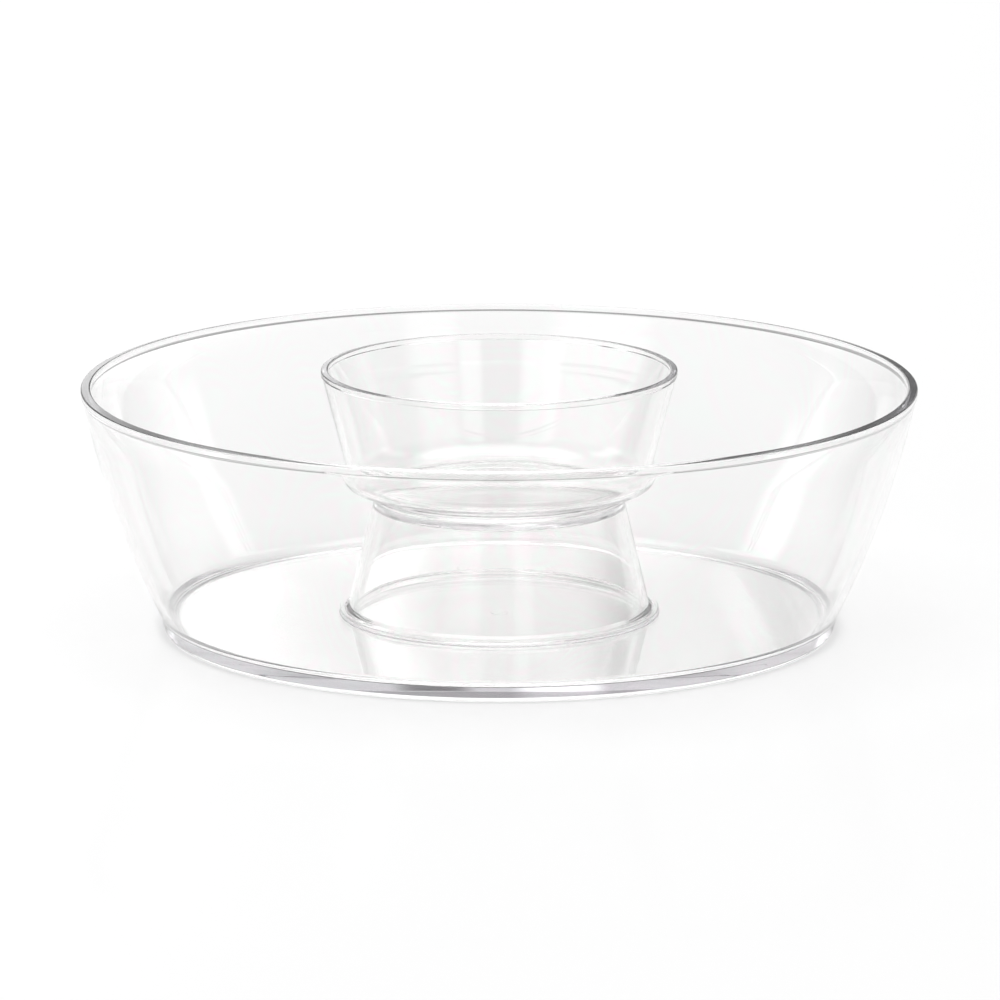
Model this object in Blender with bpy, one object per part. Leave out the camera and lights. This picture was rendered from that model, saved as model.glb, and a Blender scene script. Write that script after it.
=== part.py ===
"""Chip and dip server: a clear chip bowl, a dip stand on its floor, and a dip bowl on the stand.

Units are metres and +Z is up. The origin is on the common axis of the three pieces, on the
surface that the server stands on. Each piece is turned about +Z from the outline of its
section, a list of (radius, height) points. An outline starts on the axis on the upper side,
runs out, up to the rim, down the outside, and back to the axis on the underside.
"""

import math

import bmesh
import bpy

# Turned shapes
SEGMENTS = 72               # facets round each piece
ARC_STEPS = 4               # points along each rounded corner
WALL_STEPS = 8              # points along the curved wall of the chip bowl
PIECE_GAP = 0.0003          # between two pieces that rest on each other

# Chip bowl
RIM_RADIUS = 0.1525
BOWL_HEIGHT = 0.0897
RIM_WIDTH = 0.0036          # top of the rim, from its inner edge to its outer edge
RIM_FALL = 0.0005           # how much lower the rim's outer edge is than its inner edge
RIM_DEPTH = 0.0020          # upright outer face of the rim
RIM_PROUD = 0.0005          # how far the rim stands out from the wall under it
EDGE_ROUND = 0.0006         # broken edges of rims and feet
WALL_THICKNESS = 0.0028
WALL_BEND = 0.3300          # radius of the wall's gentle outward bow
FOOT_RADIUS = 0.1225        # outside of the foot where it meets the table
FOOT_TOP_RADIUS = 0.1240
FOOT_HEIGHT = 0.0054        # where the foot turns into the wall
FOOT_WIDTH = 0.0034
FLOOR_TOP = 0.0052
FLOOR_THICKNESS = 0.0040
CORNER_ROUND = 0.0065       # inside, between floor and wall

# Dip bowl
DIP_RIM_RADIUS = 0.0650
DIP_RIM_HEIGHT = 0.0955     # above the table: a little higher than the chip bowl's rim
DIP_HEIGHT = 0.0480         # from its foot to its rim
DIP_RIM_WIDTH = 0.0026
DIP_RIM_DEPTH = 0.0018
DIP_RIM_PROUD = 0.0003
DIP_RIM_FALL = 0.0003
DIP_WALL_THICKNESS = 0.0023
DIP_WALL_SLOPE = math.radians(14.5)     # from upright
DIP_CORNER_ROUND = 0.0120               # outside, between wall and underside
DIP_FLOOR_THICKNESS = 0.0026
DIP_FOOT_RADIUS = 0.0430
DIP_FOOT_WIDTH = 0.0026
DIP_FOOT_HEIGHT = 0.0022

# Dip stand
SEAT_CLEARANCE = 0.0004     # round the dip bowl's foot
SEAT_LIP_WIDTH = 0.0024
SEAT_LIP_HEIGHT = 0.0018
SEAT_PLATE_THICKNESS = 0.0026
STAND_WALL_THICKNESS = 0.0025
STAND_FOOT_RADIUS = 0.0560
STAND_FOOT_HEIGHT = 0.0030
STAND_FOOT_PROUD = 0.0012

# Ring on the chip bowl's floor that keeps the stand in the middle
KEEPER_CLEARANCE = 0.0004
KEEPER_WIDTH = 0.0020
KEEPER_HEIGHT = 0.0016

# Clear moulded plastic
CLEAR_COLOUR = (0.93, 0.93, 0.95, 1.0)
CLEAR_ROUGHNESS = 0.04
CLEAR_IOR = 1.49

# Heights above the table that follow from the sizes above
DIP_BASE = DIP_RIM_HEIGHT - DIP_HEIGHT
STAND_BASE = FLOOR_TOP + PIECE_GAP
SEAT_TOP = DIP_BASE - PIECE_GAP


def clear_old_objects():
    for old in list(bpy.data.objects):
        bpy.data.objects.remove(old, do_unlink=True)


def clear_plastic(name):
    material = bpy.data.materials.new(name)
    material.use_nodes = True
    shader = material.node_tree.nodes["Principled BSDF"]
    shader.inputs["Base Color"].default_value = CLEAR_COLOUR
    shader.inputs["Roughness"].default_value = CLEAR_ROUGHNESS
    shader.inputs["Metallic"].default_value = 0.0
    shader.inputs["IOR"].default_value = CLEAR_IOR
    shader.inputs["Transmission Weight"].default_value = 1.0
    material.diffuse_color = CLEAR_COLOUR
    return material


def rounded_corner(before, corner, after, radius, steps=ARC_STEPS):
    """Points of the arc that rounds the corner between the lines to before and to after."""
    to_before = math.atan2(before[1] - corner[1], before[0] - corner[0])
    to_after = math.atan2(after[1] - corner[1], after[0] - corner[0])
    turn = math.remainder(to_after - to_before, 2.0 * math.pi)
    half = abs(turn) / 2.0
    middle = to_before + turn / 2.0
    reach = radius / math.sin(half)
    centre = (corner[0] + reach * math.cos(middle), corner[1] + reach * math.sin(middle))
    side = math.copysign(1.0, turn)
    first = to_before - side * math.pi / 2.0
    sweep = side * (math.pi - abs(turn))
    points = []
    for step in range(steps + 1):
        angle = first - sweep * step / steps
        points.append((centre[0] + radius * math.cos(angle), centre[1] + radius * math.sin(angle)))
    return points


def bowed_wall(top, foot, bend):
    """Function giving the radius of a bowed wall's outline at a height and a depth into it."""
    run = (top[0] - foot[0], top[1] - foot[1])
    chord = math.hypot(*run)
    inward = math.sqrt(bend ** 2 - (chord / 2.0) ** 2)
    centre_radius = (top[0] + foot[0]) / 2.0 - inward * run[1] / chord
    centre_height = (top[1] + foot[1]) / 2.0 + inward * run[0] / chord

    def radius_at(height, depth):
        return centre_radius + math.sqrt((bend - depth) ** 2 - (height - centre_height) ** 2)

    return radius_at


def even_heights(low, high, steps):
    return [low + (high - low) * step / steps for step in range(steps + 1)]


def rim_outline(inner, outer, top, fall, base):
    """Rim from its inner face, over the top that falls outwards, to its outer face."""
    outer_top = top - fall
    outline = [(inner, base)]
    outline += rounded_corner((inner, base), (inner, top), (outer, outer_top), EDGE_ROUND, 2)
    outline += rounded_corner((inner, top), (outer, outer_top), (outer, base), EDGE_ROUND, 2)
    outline.append((outer, base))
    return outline


def foot_ring_outline(outer, width, height):
    """Ring foot from its outer face, over the flat that it stands on, to its inner face."""
    inner = outer - width
    outline = rounded_corner((outer, height), (outer, 0.0), (inner, 0.0), EDGE_ROUND, 2)
    outline += rounded_corner((outer, 0.0), (inner, 0.0), (inner, height), EDGE_ROUND, 2)
    outline.append((inner, height))
    return outline


def chip_bowl_outline():
    rim_base = BOWL_HEIGHT - RIM_FALL - RIM_DEPTH
    wall_top = (RIM_RADIUS - RIM_PROUD, rim_base - 2.0 * RIM_PROUD)
    wall_foot = (FOOT_TOP_RADIUS, FOOT_HEIGHT)
    radius_at = bowed_wall(wall_top, wall_foot, WALL_BEND)

    keeper_inner = STAND_FOOT_RADIUS + KEEPER_CLEARANCE
    keeper_outer = keeper_inner + KEEPER_WIDTH
    keeper_top = FLOOR_TOP + KEEPER_HEIGHT
    outline = [(0.0, FLOOR_TOP), (keeper_inner, FLOOR_TOP)]
    outline += rounded_corner((keeper_inner, FLOOR_TOP), (keeper_inner, keeper_top),
                              (keeper_outer, keeper_top), EDGE_ROUND, 2)
    outline += rounded_corner((keeper_inner, keeper_top), (keeper_outer, keeper_top),
                              (keeper_outer, FLOOR_TOP), EDGE_ROUND, 2)
    outline.append((keeper_outer, FLOOR_TOP))

    corner = (radius_at(FLOOR_TOP, WALL_THICKNESS), FLOOR_TOP)
    wall_above = (radius_at(FLOOR_TOP + CORNER_ROUND, WALL_THICKNESS), FLOOR_TOP + CORNER_ROUND)
    corner_points = rounded_corner((0.0, FLOOR_TOP), corner, wall_above, CORNER_ROUND)
    outline += corner_points
    for height in even_heights(corner_points[-1][1], rim_base, WALL_STEPS)[1:-1]:
        outline.append((radius_at(height, WALL_THICKNESS), height))

    outline += rim_outline(RIM_RADIUS - RIM_WIDTH, RIM_RADIUS, BOWL_HEIGHT, RIM_FALL, rim_base)
    for height in even_heights(wall_top[1], FOOT_HEIGHT, WALL_STEPS):
        outline.append((radius_at(height, 0.0), height))

    underside = FLOOR_TOP - FLOOR_THICKNESS
    outline += foot_ring_outline(FOOT_RADIUS, FOOT_WIDTH, underside)
    outline.append((0.0, underside))
    return outline


def dip_bowl_outline():
    """Outline above the dip bowl's own foot."""
    tilt = math.tan(DIP_WALL_SLOPE)
    wall_across = DIP_WALL_THICKNESS / math.cos(DIP_WALL_SLOPE)
    rim_base = DIP_HEIGHT - DIP_RIM_FALL - DIP_RIM_DEPTH
    wall_top = rim_base - DIP_RIM_PROUD
    floor_top = DIP_FOOT_HEIGHT + DIP_FLOOR_THICKNESS

    def outer_at(height):
        return DIP_RIM_RADIUS - DIP_RIM_PROUD - (wall_top - height) * tilt

    def inner_at(height):
        return outer_at(height) - wall_across

    inner_round = DIP_CORNER_ROUND - DIP_WALL_THICKNESS
    outline = [(0.0, floor_top)]
    outline += rounded_corner((0.0, floor_top), (inner_at(floor_top), floor_top),
                              (inner_at(rim_base), rim_base), inner_round)
    outline += rim_outline(DIP_RIM_RADIUS - DIP_RIM_WIDTH, DIP_RIM_RADIUS, DIP_HEIGHT,
                           DIP_RIM_FALL, rim_base)
    outline.append((outer_at(wall_top), wall_top))
    outline += rounded_corner((outer_at(wall_top), wall_top),
                              (outer_at(DIP_FOOT_HEIGHT), DIP_FOOT_HEIGHT),
                              (0.0, DIP_FOOT_HEIGHT), DIP_CORNER_ROUND)
    outline.append((DIP_FOOT_RADIUS, DIP_FOOT_HEIGHT))
    outline += foot_ring_outline(DIP_FOOT_RADIUS, DIP_FOOT_WIDTH, DIP_FOOT_HEIGHT)
    outline.append((0.0, DIP_FOOT_HEIGHT))
    return outline


def dip_stand_outline():
    """Outline above the stand's own foot."""
    seat = SEAT_TOP - STAND_BASE
    lip_top = seat + SEAT_LIP_HEIGHT
    lip_inner = DIP_FOOT_RADIUS + SEAT_CLEARANCE
    lip_outer = lip_inner + SEAT_LIP_WIDTH
    wall_foot = STAND_FOOT_RADIUS - STAND_FOOT_PROUD
    flare = (wall_foot - lip_outer) / (seat - STAND_FOOT_HEIGHT)
    plate_underside = seat - SEAT_PLATE_THICKNESS

    def inner_at(height):
        return wall_foot - flare * (height - STAND_FOOT_HEIGHT) - STAND_WALL_THICKNESS

    outline = [(0.0, seat), (lip_inner, seat)]
    outline += rounded_corner((lip_inner, seat), (lip_inner, lip_top), (lip_outer, lip_top),
                              EDGE_ROUND, 2)
    outline += rounded_corner((lip_inner, lip_top), (lip_outer, lip_top), (lip_outer, seat),
                              EDGE_ROUND, 2)
    outline += [(lip_outer, seat), (wall_foot, STAND_FOOT_HEIGHT)]
    outline.append((STAND_FOOT_RADIUS, STAND_FOOT_HEIGHT - STAND_FOOT_PROUD))
    outline += rounded_corner((STAND_FOOT_RADIUS, STAND_FOOT_HEIGHT), (STAND_FOOT_RADIUS, 0.0),
                              (inner_at(0.0), 0.0), EDGE_ROUND, 2)
    outline.append((inner_at(0.0), 0.0))
    outline.append((inner_at(plate_underside), plate_underside))
    outline.append((0.0, plate_underside))
    return outline


def turned_piece(name, outline, base_height, material):
    """Closed solid of an outline turned about +Z, with its origin on the axis at its base."""
    shape = bmesh.new()
    rail = [shape.verts.new((radius, 0.0, height)) for radius, height in outline]
    edges = [shape.edges.new(pair) for pair in zip(rail, rail[1:])]
    bmesh.ops.spin(shape, geom=rail + edges, cent=(0.0, 0.0, 0.0), axis=(0.0, 0.0, 1.0),
                   angle=2.0 * math.pi, steps=SEGMENTS, use_merge=True)
    bmesh.ops.remove_doubles(shape, verts=shape.verts, dist=1e-6)
    bmesh.ops.recalc_face_normals(shape, faces=shape.faces)
    mesh = bpy.data.meshes.new(name)
    shape.to_mesh(mesh)
    shape.free()
    mesh.shade_smooth()
    mesh.set_sharp_from_angle(angle=math.radians(30.0))
    mesh.materials.append(material)
    piece = bpy.data.objects.new(name, mesh)
    piece.location.z = base_height
    bpy.context.collection.objects.link(piece)
    return piece


clear_old_objects()
turned_piece("chip_bowl", chip_bowl_outline(), 0.0, clear_plastic("clear_chip_bowl"))
turned_piece("dip_stand", dip_stand_outline(), STAND_BASE, clear_plastic("clear_dip_stand"))
turned_piece("dip_bowl", dip_bowl_outline(), DIP_BASE, clear_plastic("clear_dip_bowl"))
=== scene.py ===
import math

import bpy
import numpy as np
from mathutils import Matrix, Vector


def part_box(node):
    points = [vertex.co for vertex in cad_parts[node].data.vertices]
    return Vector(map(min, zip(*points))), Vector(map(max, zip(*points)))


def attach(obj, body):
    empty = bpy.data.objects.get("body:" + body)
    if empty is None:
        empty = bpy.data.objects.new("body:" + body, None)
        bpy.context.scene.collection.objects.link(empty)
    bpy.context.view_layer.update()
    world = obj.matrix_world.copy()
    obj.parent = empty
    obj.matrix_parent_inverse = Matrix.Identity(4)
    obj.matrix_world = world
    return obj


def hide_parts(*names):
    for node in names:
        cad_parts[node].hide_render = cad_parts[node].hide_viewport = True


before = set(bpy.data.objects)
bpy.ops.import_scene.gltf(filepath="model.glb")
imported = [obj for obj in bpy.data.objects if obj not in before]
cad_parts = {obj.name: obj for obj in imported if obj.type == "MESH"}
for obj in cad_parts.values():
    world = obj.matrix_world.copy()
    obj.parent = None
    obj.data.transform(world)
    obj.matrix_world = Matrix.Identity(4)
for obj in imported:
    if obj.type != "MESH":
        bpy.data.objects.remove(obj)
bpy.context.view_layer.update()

# ---------------------------------------------------------------------------------------------
# Sizes, in metres
# ---------------------------------------------------------------------------------------------

# Turned surfaces
SEGMENTS = 384                      # faces round each piece
ARC_STEP = math.radians(11.25)      # turn between two points of a rounded edge
WALL_STEPS = 48                     # points along a bowed wall
EDGE = 0.0004                       # rounding of small outside edges
CREASE = 0.0003                     # rounding of small inside corners

# Chip bowl
RIM_WIDTH = 0.0036
RIM_FALL = 0.0005                   # how much lower the rim's outer edge is than its inner edge
RIM_DEPTH = 0.0020
RIM_PROUD = 0.0005
RIM_ROUND = 0.0007
RIM_BASE_ROUND = 0.0006             # rounding of its lower outer edge
RIM_SWELL = 0.0140                  # height over which the wall thickens into the rim
WALL_THICKNESS = 0.0028
WALL_BEND = 0.3300
FOOT_RADIUS = 0.1225
FOOT_TOP_RADIUS = 0.1240
FOOT_HEIGHT = 0.0054
FOOT_WIDTH = 0.0034
FOOT_ROUND = 0.0008
FLOOR_TOP = 0.0052
FLOOR_THICKNESS = 0.0040
CORNER_ROUND = 0.0065
KEEPER_CLEARANCE = 0.0004
KEEPER_WIDTH = 0.0020
KEEPER_HEIGHT = 0.0016

# Dip bowl
DIP_RIM_WIDTH = 0.0026
DIP_RIM_FALL = 0.0003
DIP_RIM_DEPTH = 0.0018
DIP_RIM_PROUD = 0.0003
DIP_RIM_ROUND = 0.0005
DIP_WALL_THICKNESS = 0.0023
DIP_WALL_SLOPE = math.radians(14.5)
DIP_CORNER_ROUND = 0.0120
DIP_FLOOR_THICKNESS = 0.0026
DIP_FOOT_RADIUS = 0.0430
DIP_FOOT_WIDTH = 0.0026
DIP_FOOT_HEIGHT = 0.0022

# Dip stand
SEAT_CLEARANCE = 0.0004
SEAT_LIP_WIDTH = 0.0024
SEAT_LIP_HEIGHT = 0.0018
SEAT_PLATE_THICKNESS = 0.0026
STAND_WALL_THICKNESS = 0.0025
STAND_FOOT_HEIGHT = 0.0030
STAND_FOOT_PROUD = 0.0012

# Mark of the mould's gate in the middle of each underside
GATE_RADIUS = 0.0030
GATE_HEIGHT = 0.0004

# Sizes read from the frame
_, chip_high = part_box("chip_bowl")
dip_low, dip_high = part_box("dip_bowl")
stand_low, stand_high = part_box("dip_stand")
RIM_RADIUS = chip_high.x
BOWL_HEIGHT = chip_high.z
DIP_RIM_RADIUS = dip_high.x
STAND_FOOT_RADIUS = stand_high.x

# ---------------------------------------------------------------------------------------------
# Clear plastic
# ---------------------------------------------------------------------------------------------

FLOW_SCALE = 28.0                   # waves of the surface per metre
FLOW_HEIGHT = 0.00005
TINT_BANDS = 90.0                   # radians of the tints' swing over the noise's range
PINK = (1.0, 0.972, 0.982, 1.0)
GREEN = (0.975, 1.0, 0.985, 1.0)
SCRATCH_STRETCH = (1.0, 9.0, 4.0)
SCRATCH_TURN = (0.3, 0.2, 0.7)
SCRATCH_SCALE = 22.0
SCRATCH_MIDDLE = 0.5                # value of the noise along the middle of a scratch
SCRATCH_WIDTH = 0.004               # how far the noise is from it at a scratch's edge
SCRATCH_ROUGHNESS = 0.10
HAZE_SCALE = 30.0
HAZE_RANGE = (0.45, 0.75)           # values of the noise where haze begins and is full
HAZE_ROUGHNESS = 0.03
PLASTIC_IOR = 1.49
BODY_COLOR = (0.40, 0.36, 0.46, 1.0)
BODY_DENSITY = 1.8                  # per metre, so only long ways through the plastic darken


def add_node(tree, kind, inputs=None, **settings):
    """New shader node with its settings, and its inputs set to values or linked to sockets."""
    node = tree.nodes.new(kind)
    for setting, value in settings.items():
        setattr(node, setting, value)
    for key, value in (inputs or {}).items():
        if isinstance(value, bpy.types.NodeSocket):
            tree.links.new(value, node.inputs[key])
        else:
            node.inputs[key].default_value = value
    return node


def add_math(tree, operation, *values):
    """Output of a new math node."""
    return add_node(tree, "ShaderNodeMath", dict(enumerate(values)), operation=operation).outputs[0]


def clear_plastic(name):
    """Moulded clear plastic with waves, faint stress tints, haze and hair scratches."""
    material = bpy.data.materials.new(name)
    material.use_nodes = True
    tree = material.node_tree
    shader = tree.nodes["Principled BSDF"]
    shader.inputs["IOR"].default_value = PLASTIC_IOR
    shader.inputs["Transmission Weight"].default_value = 1.0
    place = add_node(tree, "ShaderNodeTexCoord").outputs["Object"]

    # Waves left by the flow of the plastic in the mould
    flow = add_node(tree, "ShaderNodeTexNoise",
                    {"Vector": place, "Scale": FLOW_SCALE, "Detail": 0.0}).outputs["Fac"]
    waves = add_node(tree, "ShaderNodeBump",
                     {"Height": flow, "Strength": 1.0, "Distance": FLOW_HEIGHT})
    tree.links.new(waves.outputs["Normal"], shader.inputs["Normal"])

    # Pink and green stress tints, in bands that follow the flow
    swing = add_math(tree, "SINE", add_math(tree, "MULTIPLY", flow, TINT_BANDS))
    share = add_node(tree, "ShaderNodeMapRange", {"Value": swing, "From Min": -1.0}).outputs[0]
    tint = add_node(tree, "ShaderNodeMix", {0: share, 6: PINK, 7: GREEN}, data_type="RGBA")
    tree.links.new(tint.outputs[2], shader.inputs["Base Color"])

    # Scratches, where a stretched noise crosses its middle value, over haze from handling
    stretched = add_node(tree, "ShaderNodeMapping", {"Vector": place, "Scale": SCRATCH_STRETCH,
                                                     "Rotation": SCRATCH_TURN}).outputs[0]
    streaks = add_node(tree, "ShaderNodeTexNoise",
                       {"Vector": stretched, "Scale": SCRATCH_SCALE, "Detail": 0.0}).outputs["Fac"]
    off_middle = add_math(tree, "ABSOLUTE", add_math(tree, "SUBTRACT", streaks, SCRATCH_MIDDLE))
    scratch = add_node(tree, "ShaderNodeMapRange", {"Value": off_middle, "From Max": SCRATCH_WIDTH,
                                                    "To Min": 1.0, "To Max": 0.0}).outputs[0]
    patches = add_node(tree, "ShaderNodeTexNoise",
                       {"Vector": place, "Scale": HAZE_SCALE, "Detail": 1.0}).outputs["Fac"]
    begins, full = HAZE_RANGE
    haze = add_node(tree, "ShaderNodeMapRange", {"Value": patches, "From Min": begins, "From Max": full,
                                                 "To Max": HAZE_ROUGHNESS}).outputs[0]
    roughness = add_math(tree, "MULTIPLY_ADD", scratch, SCRATCH_ROUGHNESS, haze)
    tree.links.new(roughness, shader.inputs["Roughness"])

    inside = add_node(tree, "ShaderNodeVolumeAbsorption",
                      {"Color": BODY_COLOR, "Density": BODY_DENSITY})
    tree.links.new(inside.outputs["Volume"], tree.nodes["Material Output"].inputs["Volume"])
    return material


# ---------------------------------------------------------------------------------------------
# Turned shapes
# ---------------------------------------------------------------------------------------------

def corner_arc(before, corner, after, radius):
    """Points of a rounded corner, each with the angle of its normal in the section."""
    to_before = math.atan2(before[1] - corner[1], before[0] - corner[0])
    to_after = math.atan2(after[1] - corner[1], after[0] - corner[0])
    turn = math.remainder(to_after - to_before, 2.0 * math.pi)
    reach = radius / math.sin(abs(turn) / 2.0)
    middle = to_before + turn / 2.0
    centre = (corner[0] + reach * math.cos(middle), corner[1] + reach * math.sin(middle))
    side = math.copysign(1.0, turn)
    first = to_before - side * math.pi / 2.0
    sweep = math.pi - abs(turn)
    steps = max(2, math.ceil(sweep / ARC_STEP))
    points = []
    for step in range(steps + 1):
        angle = first - side * sweep * step / steps
        normal = angle if side > 0 else angle + math.pi
        points.append((centre[0] + radius * math.cos(angle),
                       centre[1] + radius * math.sin(angle), normal))
    return points


def outline_of(corners):
    """Points (radius, height, normal angle) of a section given by corners and their roundings.

    The section starts on the axis on the upper side and ends on the axis on the underside.
    """
    points = []
    for index, (radius, height, rounding) in enumerate(corners):
        if rounding == 0.0:
            points.append((radius, height, None))
        else:
            points += corner_arc(corners[index - 1], corners[index], corners[index + 1], rounding)
    outline = [(0.0, points[0][1], math.pi / 2.0)]
    for index in range(1, len(points) - 1):
        radius, height, normal = points[index]
        if normal is None:
            back = points[index - 1]
            ahead = points[index + 1]
            normal = math.atan2(ahead[0] - back[0], back[1] - ahead[1])
        outline.append((radius, height, normal))
    outline.append((0.0, points[-1][1], -math.pi / 2.0))
    return outline


def turned(name, corners):
    """Closed surface of a section turned about +Z, with the section's own normals."""
    outline = outline_of(corners)
    angles = np.arange(SEGMENTS) * (2.0 * math.pi / SEGMENTS)
    spokes = np.stack([np.cos(angles), np.sin(angles)], axis=1)
    vertices = [(0.0, 0.0, outline[0][1])]
    normals = [(0.0, 0.0, 1.0)]
    for radius, height, normal in outline[1:-1]:
        across, up = math.cos(normal), math.sin(normal)
        vertices += [(radius * x, radius * y, height) for x, y in spokes]
        normals += [(across * x, across * y, up) for x, y in spokes]
    vertices.append((0.0, 0.0, outline[-1][1]))
    normals.append((0.0, 0.0, -1.0))

    def vertex(ring, spoke):
        return 1 + ring * SEGMENTS + spoke % SEGMENTS

    last_ring = len(outline) - 3
    last_vertex = len(vertices) - 1
    faces = []
    for spoke in range(SEGMENTS):
        faces.append((0, vertex(0, spoke), vertex(0, spoke + 1)))
        for ring in range(last_ring):
            faces.append((vertex(ring, spoke), vertex(ring + 1, spoke),
                          vertex(ring + 1, spoke + 1), vertex(ring, spoke + 1)))
        faces.append((vertex(last_ring, spoke), last_vertex, vertex(last_ring, spoke + 1)))
    mesh = bpy.data.meshes.new(name)
    mesh.from_pydata(vertices, [], faces)
    mesh.shade_smooth()
    mesh.normals_split_custom_set_from_vertices(normals)
    piece = bpy.data.objects.new(name, mesh)
    bpy.context.scene.collection.objects.link(piece)
    return piece


def bowed_wall(top, foot, bend):
    """Function giving the radius of a bowed wall's outline at a height and a depth into it."""
    run = (top[0] - foot[0], top[1] - foot[1])
    chord = math.hypot(*run)
    inward = math.sqrt(bend ** 2 - (chord / 2.0) ** 2)
    centre_radius = (top[0] + foot[0]) / 2.0 - inward * run[1] / chord
    centre_height = (top[1] + foot[1]) / 2.0 + inward * run[0] / chord

    def radius_at(height, depth):
        return centre_radius + math.sqrt((bend - depth) ** 2 - (height - centre_height) ** 2)

    return radius_at


def gate_mark(underside):
    """Corners of the low round mark in the middle of an underside."""
    return [(GATE_RADIUS, underside, CREASE / 2.0),
            (GATE_RADIUS, underside - GATE_HEIGHT, CREASE / 2.0),
            (0.0, underside - GATE_HEIGHT, 0.0)]


def chip_bowl_corners():
    """Section of the chip bowl as (radius, height, rounding) corners."""
    rim_base = BOWL_HEIGHT - RIM_FALL - RIM_DEPTH
    rim_inner = RIM_RADIUS - RIM_WIDTH
    wall_top = (RIM_RADIUS - RIM_PROUD, rim_base - 2.0 * RIM_PROUD)
    wall_foot = (FOOT_TOP_RADIUS, FOOT_HEIGHT)
    radius_at = bowed_wall(wall_top, wall_foot, WALL_BEND)
    keeper_inner = STAND_FOOT_RADIUS + KEEPER_CLEARANCE
    keeper_outer = keeper_inner + KEEPER_WIDTH
    keeper_top = FLOOR_TOP + KEEPER_HEIGHT
    underside = FLOOR_TOP - FLOOR_THICKNESS
    foot_inner = FOOT_RADIUS - FOOT_WIDTH

    corners = [(0.0, FLOOR_TOP, 0.0),
               (keeper_inner, FLOOR_TOP, CREASE),
               (keeper_inner, keeper_top, EDGE),
               (keeper_outer, keeper_top, EDGE),
               (keeper_outer, FLOOR_TOP, CREASE),
               (radius_at(FLOOR_TOP, WALL_THICKNESS), FLOOR_TOP, CORNER_ROUND)]

    # Inner wall, which thickens into the rim
    inner_low = FLOOR_TOP + CORNER_ROUND
    inner_high = BOWL_HEIGHT - 1.5 * RIM_ROUND
    thickening = radius_at(BOWL_HEIGHT, WALL_THICKNESS) - rim_inner
    for step in range(WALL_STEPS + 1):
        height = inner_low + (inner_high - inner_low) * step / WALL_STEPS
        swell = max(0.0, 1.0 - (BOWL_HEIGHT - height) / RIM_SWELL)
        corners.append((radius_at(height, WALL_THICKNESS) - thickening * swell ** 2, height, 0.0))

    corners += [(rim_inner, BOWL_HEIGHT, RIM_ROUND),
                (RIM_RADIUS, BOWL_HEIGHT - RIM_FALL, RIM_ROUND),
                (RIM_RADIUS, rim_base, RIM_BASE_ROUND),
                (wall_top[0], wall_top[1], 0.0)]

    # Outer wall
    outer_high = wall_top[1] - RIM_PROUD
    outer_low = FOOT_HEIGHT + 2.0 * CREASE
    for step in range(WALL_STEPS + 1):
        height = outer_high + (outer_low - outer_high) * step / WALL_STEPS
        corners.append((radius_at(height, 0.0), height, 0.0))

    corners += [(FOOT_TOP_RADIUS, FOOT_HEIGHT, CREASE),
                (FOOT_RADIUS, 0.0, FOOT_ROUND),
                (foot_inner, 0.0, EDGE),
                (foot_inner, underside, CREASE)]
    return corners + gate_mark(underside)


def dip_bowl_corners():
    """Section of the dip bowl as (radius, height, rounding) corners."""
    base = dip_low.z
    tilt = math.tan(DIP_WALL_SLOPE)
    wall_across = DIP_WALL_THICKNESS / math.cos(DIP_WALL_SLOPE)
    rim_top = dip_high.z
    rim_base = rim_top - DIP_RIM_FALL - DIP_RIM_DEPTH
    wall_top = rim_base - DIP_RIM_PROUD
    underside = base + DIP_FOOT_HEIGHT
    floor_top = underside + DIP_FLOOR_THICKNESS
    rim_inner = DIP_RIM_RADIUS - DIP_RIM_WIDTH
    foot_inner = DIP_FOOT_RADIUS - DIP_FOOT_WIDTH

    def outer_at(height):
        return DIP_RIM_RADIUS - DIP_RIM_PROUD - (wall_top - height) * tilt

    def inner_at(height):
        return outer_at(height) - wall_across

    corners = [(0.0, floor_top, 0.0),
               (inner_at(floor_top), floor_top, DIP_CORNER_ROUND - DIP_WALL_THICKNESS),
               (inner_at(rim_base), rim_base, CREASE),
               (rim_inner, rim_top, DIP_RIM_ROUND),
               (DIP_RIM_RADIUS, rim_top - DIP_RIM_FALL, DIP_RIM_ROUND),
               (DIP_RIM_RADIUS, rim_base, CREASE / 2.0),
               (outer_at(wall_top), wall_top, CREASE / 2.0),
               (outer_at(underside), underside, DIP_CORNER_ROUND),
               (DIP_FOOT_RADIUS, underside, CREASE),
               (DIP_FOOT_RADIUS, base, EDGE),
               (foot_inner, base, EDGE),
               (foot_inner, underside, CREASE)]
    return corners + gate_mark(underside)


def dip_stand_corners():
    """Section of the dip stand as (radius, height, rounding) corners."""
    base = stand_low.z
    lip_top = stand_high.z
    seat = lip_top - SEAT_LIP_HEIGHT
    lip_inner = DIP_FOOT_RADIUS + SEAT_CLEARANCE
    lip_outer = lip_inner + SEAT_LIP_WIDTH
    wall_foot = STAND_FOOT_RADIUS - STAND_FOOT_PROUD
    foot_top = base + STAND_FOOT_HEIGHT
    flare = (wall_foot - lip_outer) / (seat - foot_top)
    plate_underside = seat - SEAT_PLATE_THICKNESS

    def inner_at(height):
        return wall_foot - flare * (height - foot_top) - STAND_WALL_THICKNESS

    corners = [(0.0, seat, 0.0),
               (lip_inner, seat, CREASE),
               (lip_inner, lip_top, EDGE),
               (lip_outer, lip_top, EDGE),
               (lip_outer, seat, 2.0 * EDGE),
               (wall_foot, foot_top, CREASE),
               (STAND_FOOT_RADIUS, foot_top - STAND_FOOT_PROUD, CREASE),
               (STAND_FOOT_RADIUS, base, EDGE),
               (inner_at(base), base, EDGE),
               (inner_at(plate_underside), plate_underside, 2.0 * EDGE)]
    return corners + gate_mark(plate_underside)


def add_piece(name, corners, body, node, material):
    """Turned piece that is seen instead of a node and moves with its body."""
    piece = turned(name, corners)
    piece.data.materials.append(material)
    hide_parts(node)
    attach(piece, body)


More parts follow.
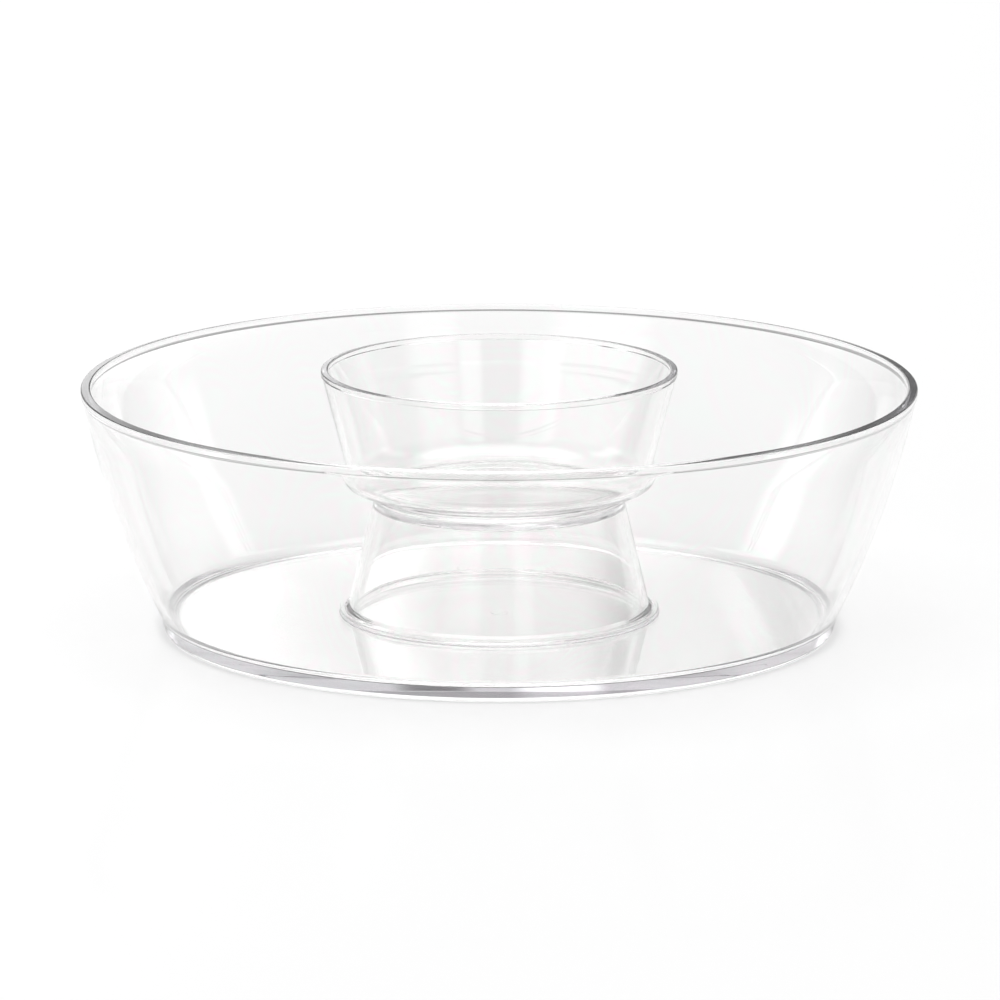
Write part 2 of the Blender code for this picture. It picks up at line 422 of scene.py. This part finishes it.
clear = clear_plastic("clear_plastic")
add_piece("chip_bowl_shell", chip_bowl_corners(), "chip_bowl", "chip_bowl", clear)
add_piece("dip_stand_shell", dip_stand_corners(), "dip_stand", "dip_stand", clear)
add_piece("dip_bowl_shell", dip_bowl_corners(), "dip_bowl", "dip_bowl", clear)

# ---------------------------------------------------------------------------------------------
# Studio
# ---------------------------------------------------------------------------------------------

STUDIO_FLOOR_HALF = 6.0
STUDIO_FLOOR_DROP = 0.0001          # below the foot, so that the two faces don't coincide
STUDIO_FLOOR_FADE = (1.7, 3.4)      # distances from the object between which the floor's painted pool of light fades and the floor darkens
STUDIO_FLOOR_PAINTED_POOL = (0.52, 0.12)   # painted pool of light: the floor's colour near the object and far from it
STUDIO_FLOOR_GLOW = (0.40, 0.04)    # its own light near the object and far from it
STUDIO_FLOOR_ROUGHNESS = 0.10
STUDIO_FLOOR_GLOSS = 0.004

# Soft boxes: azimuth from +Y towards +X, width, lowest and highest elevation and softness of the
# edges, all in degrees, then brightness; the dark card takes light away
SOFT_BOXES = [(0.0, 150.0, 5.0, 17.0, 3.0, 0.42),       # low rear band
              (0.0, 90.0, 20.0, 42.0, 4.0, 0.75),       # high rear band
              (-7.0, 7.0, 3.0, 20.0, 2.5, 0.90),        # rear strip
              (-10.0, 24.0, 22.0, 34.0, 3.0, 0.70),     # panel over the rear strip
              (7.5, 6.0, 5.0, 15.5, 2.5, -0.62),        # dark card beside the rear strip
              (-73.0, 16.0, 12.0, 46.0, 4.0, 1.60),     # left strip
              (-150.0, 26.0, 12.0, 46.0, 5.0, 1.50),    # front left
              (75.0, 10.0, 8.0, 45.0, 3.0, 1.20),       # right strip
              (160.0, 12.0, 12.0, 45.0, 4.0, 1.30)]     # front right
ROOM_LIGHT = 0.06
HORIZON_LIGHT = 0.42
HORIZON_START = (-3.0, 1.0)         # elevations between which the horizon's light fades in
HORIZON_END = (10.0, 28.0)          # and out again
OVERHEAD_LIGHT = 2.6
OVERHEAD_START = (48.0, 66.0)       # elevations between which the light from above fades in

# Camera
ELEVATION = math.radians(12.4)
DISTANCE = 3.5
VIEW_WIDTH = 0.3654                 # what the picture spans at the object
SENSOR_WIDTH = 36.0
AIM = Vector((0.0003, 0.0, 0.0462))

# Light paths
MAX_BOUNCES = 40
GLOSSY_BOUNCES = 32
DIFFUSE_BOUNCES = 6


def add_studio_floor():
    """White floor that glows a little, so that shadows on it stay faint; a painted pool of light round
    the object makes it darken far away.
    """
    half = STUDIO_FLOOR_HALF
    ends = [(-half, -half, 0.0), (half, -half, 0.0), (half, half, 0.0), (-half, half, 0.0)]
    mesh = bpy.data.meshes.new("studio_floor")
    mesh.from_pydata(ends, [], [(0, 1, 2, 3)])
    material = bpy.data.materials.new("studio_floor")
    material.use_nodes = True
    tree = material.node_tree
    shader = tree.nodes["Principled BSDF"]
    place = add_node(tree, "ShaderNodeTexCoord").outputs["Object"]
    away = add_node(tree, "ShaderNodeVectorMath", {0: place}, operation="LENGTH").outputs["Value"]
    start, end = STUDIO_FLOOR_FADE
    # Painted pool of light: the floor's colour and glow fall off with distance from the object
    for socket, (near, far) in (("Base Color", STUDIO_FLOOR_PAINTED_POOL),
                                ("Emission Strength", STUDIO_FLOOR_GLOW)):
        level = add_node(tree, "ShaderNodeMapRange", {"Value": away, "From Min": start, "From Max": end,
                                                      "To Min": near, "To Max": far},
                         interpolation_type="SMOOTHSTEP").outputs["Result"]
        tree.links.new(level, shader.inputs[socket])
    shader.inputs["Roughness"].default_value = STUDIO_FLOOR_ROUGHNESS
    shader.inputs["Specular IOR Level"].default_value = STUDIO_FLOOR_GLOSS
    shader.inputs["Emission Color"].default_value = (1.0, 1.0, 1.0, 1.0)
    mesh.materials.append(material)
    studio_floor = bpy.data.objects.new("studio_floor", mesh)
    studio_floor.location.z = -STUDIO_FLOOR_DROP
    bpy.context.scene.collection.objects.link(studio_floor)


def add_studio_light():
    """World light: an overhead glow, a pale horizon and soft boxes round a dim room."""
    world = bpy.data.worlds.new("studio")
    bpy.context.scene.world = world
    world.use_nodes = True
    sky = world.node_tree
    direction = add_node(sky, "ShaderNodeTexCoord").outputs["Generated"]
    flat = add_node(sky, "ShaderNodeVectorMath", {0: direction, 1: (1.0, 1.0, 0.0)},
                    operation="MULTIPLY").outputs["Vector"]
    heading = add_node(sky, "ShaderNodeVectorMath", {0: flat}, operation="NORMALIZE").outputs["Vector"]
    rise = add_node(sky, "ShaderNodeSeparateXYZ", {"Vector": direction}).outputs["Z"]

    def fade(value, start, end):
        """Smooth climb from 0 to 1 while a value goes from start to end."""
        return add_node(sky, "ShaderNodeMapRange", {"Value": value, "From Min": start, "From Max": end},
                        interpolation_type="SMOOTHSTEP").outputs["Result"]

    def fade_in_elevation(start, end):
        """The same climb, between two elevations in degrees."""
        return fade(rise, math.sin(math.radians(start)), math.sin(math.radians(end)))

    def soft_box(azimuth, width, low, high, softness, brightness):
        """Light of one soft box, as listed in SOFT_BOXES."""
        bearing = math.radians(azimuth)
        towards = (math.sin(bearing), math.cos(bearing), 0.0)
        facing = add_node(sky, "ShaderNodeVectorMath", {0: heading, 1: towards},
                          operation="DOT_PRODUCT").outputs["Value"]
        beside = fade(facing, math.cos(math.radians(width / 2.0 + softness)),
                      math.cos(math.radians(width / 2.0 - softness)))
        above = fade_in_elevation(low - softness, low + softness)
        below = fade_in_elevation(high + softness, high - softness)
        mask = add_math(sky, "MULTIPLY", add_math(sky, "MULTIPLY", beside, above), below)
        return add_math(sky, "MULTIPLY", mask, brightness)

    above_start = fade_in_elevation(*HORIZON_START)
    below_end = fade_in_elevation(*reversed(HORIZON_END))
    horizon = add_math(sky, "MULTIPLY", add_math(sky, "MULTIPLY", below_end, above_start), HORIZON_LIGHT)
    overhead = add_math(sky, "MULTIPLY", fade_in_elevation(*OVERHEAD_START), OVERHEAD_LIGHT)
    light = add_math(sky, "ADD", add_math(sky, "ADD", horizon, overhead), ROOM_LIGHT)
    for box in SOFT_BOXES:
        light = add_math(sky, "ADD", light, soft_box(*box))
    background = sky.nodes["Background"]
    background.inputs["Color"].default_value = (1.0, 1.0, 1.0, 1.0)
    sky.links.new(light, background.inputs["Strength"])


def add_camera():
    """Long lens that looks slightly down at the object."""
    data = bpy.data.cameras.new("camera")
    data.sensor_width = SENSOR_WIDTH
    data.lens = SENSOR_WIDTH * DISTANCE / VIEW_WIDTH
    camera = bpy.data.objects.new("camera", data)
    camera.location = AIM + DISTANCE * Vector((0.0, -math.cos(ELEVATION), math.sin(ELEVATION)))
    camera.rotation_euler = (math.pi / 2.0 - ELEVATION, 0.0, 0.0)
    bpy.context.scene.collection.objects.link(camera)
    bpy.context.scene.camera = camera


add_studio_floor()
add_studio_light()
add_camera()
bpy.context.scene.view_settings.view_transform = "Standard"

# Light led along inside the plastic is reflected many times before it leaves
cycles = bpy.context.scene.cycles
cycles.max_bounces = MAX_BOUNCES
cycles.transmission_bounces = MAX_BOUNCES
cycles.glossy_bounces = GLOSSY_BOUNCES
cycles.diffuse_bounces = DIFFUSE_BOUNCES
cycles.blur_glossy = 0.0
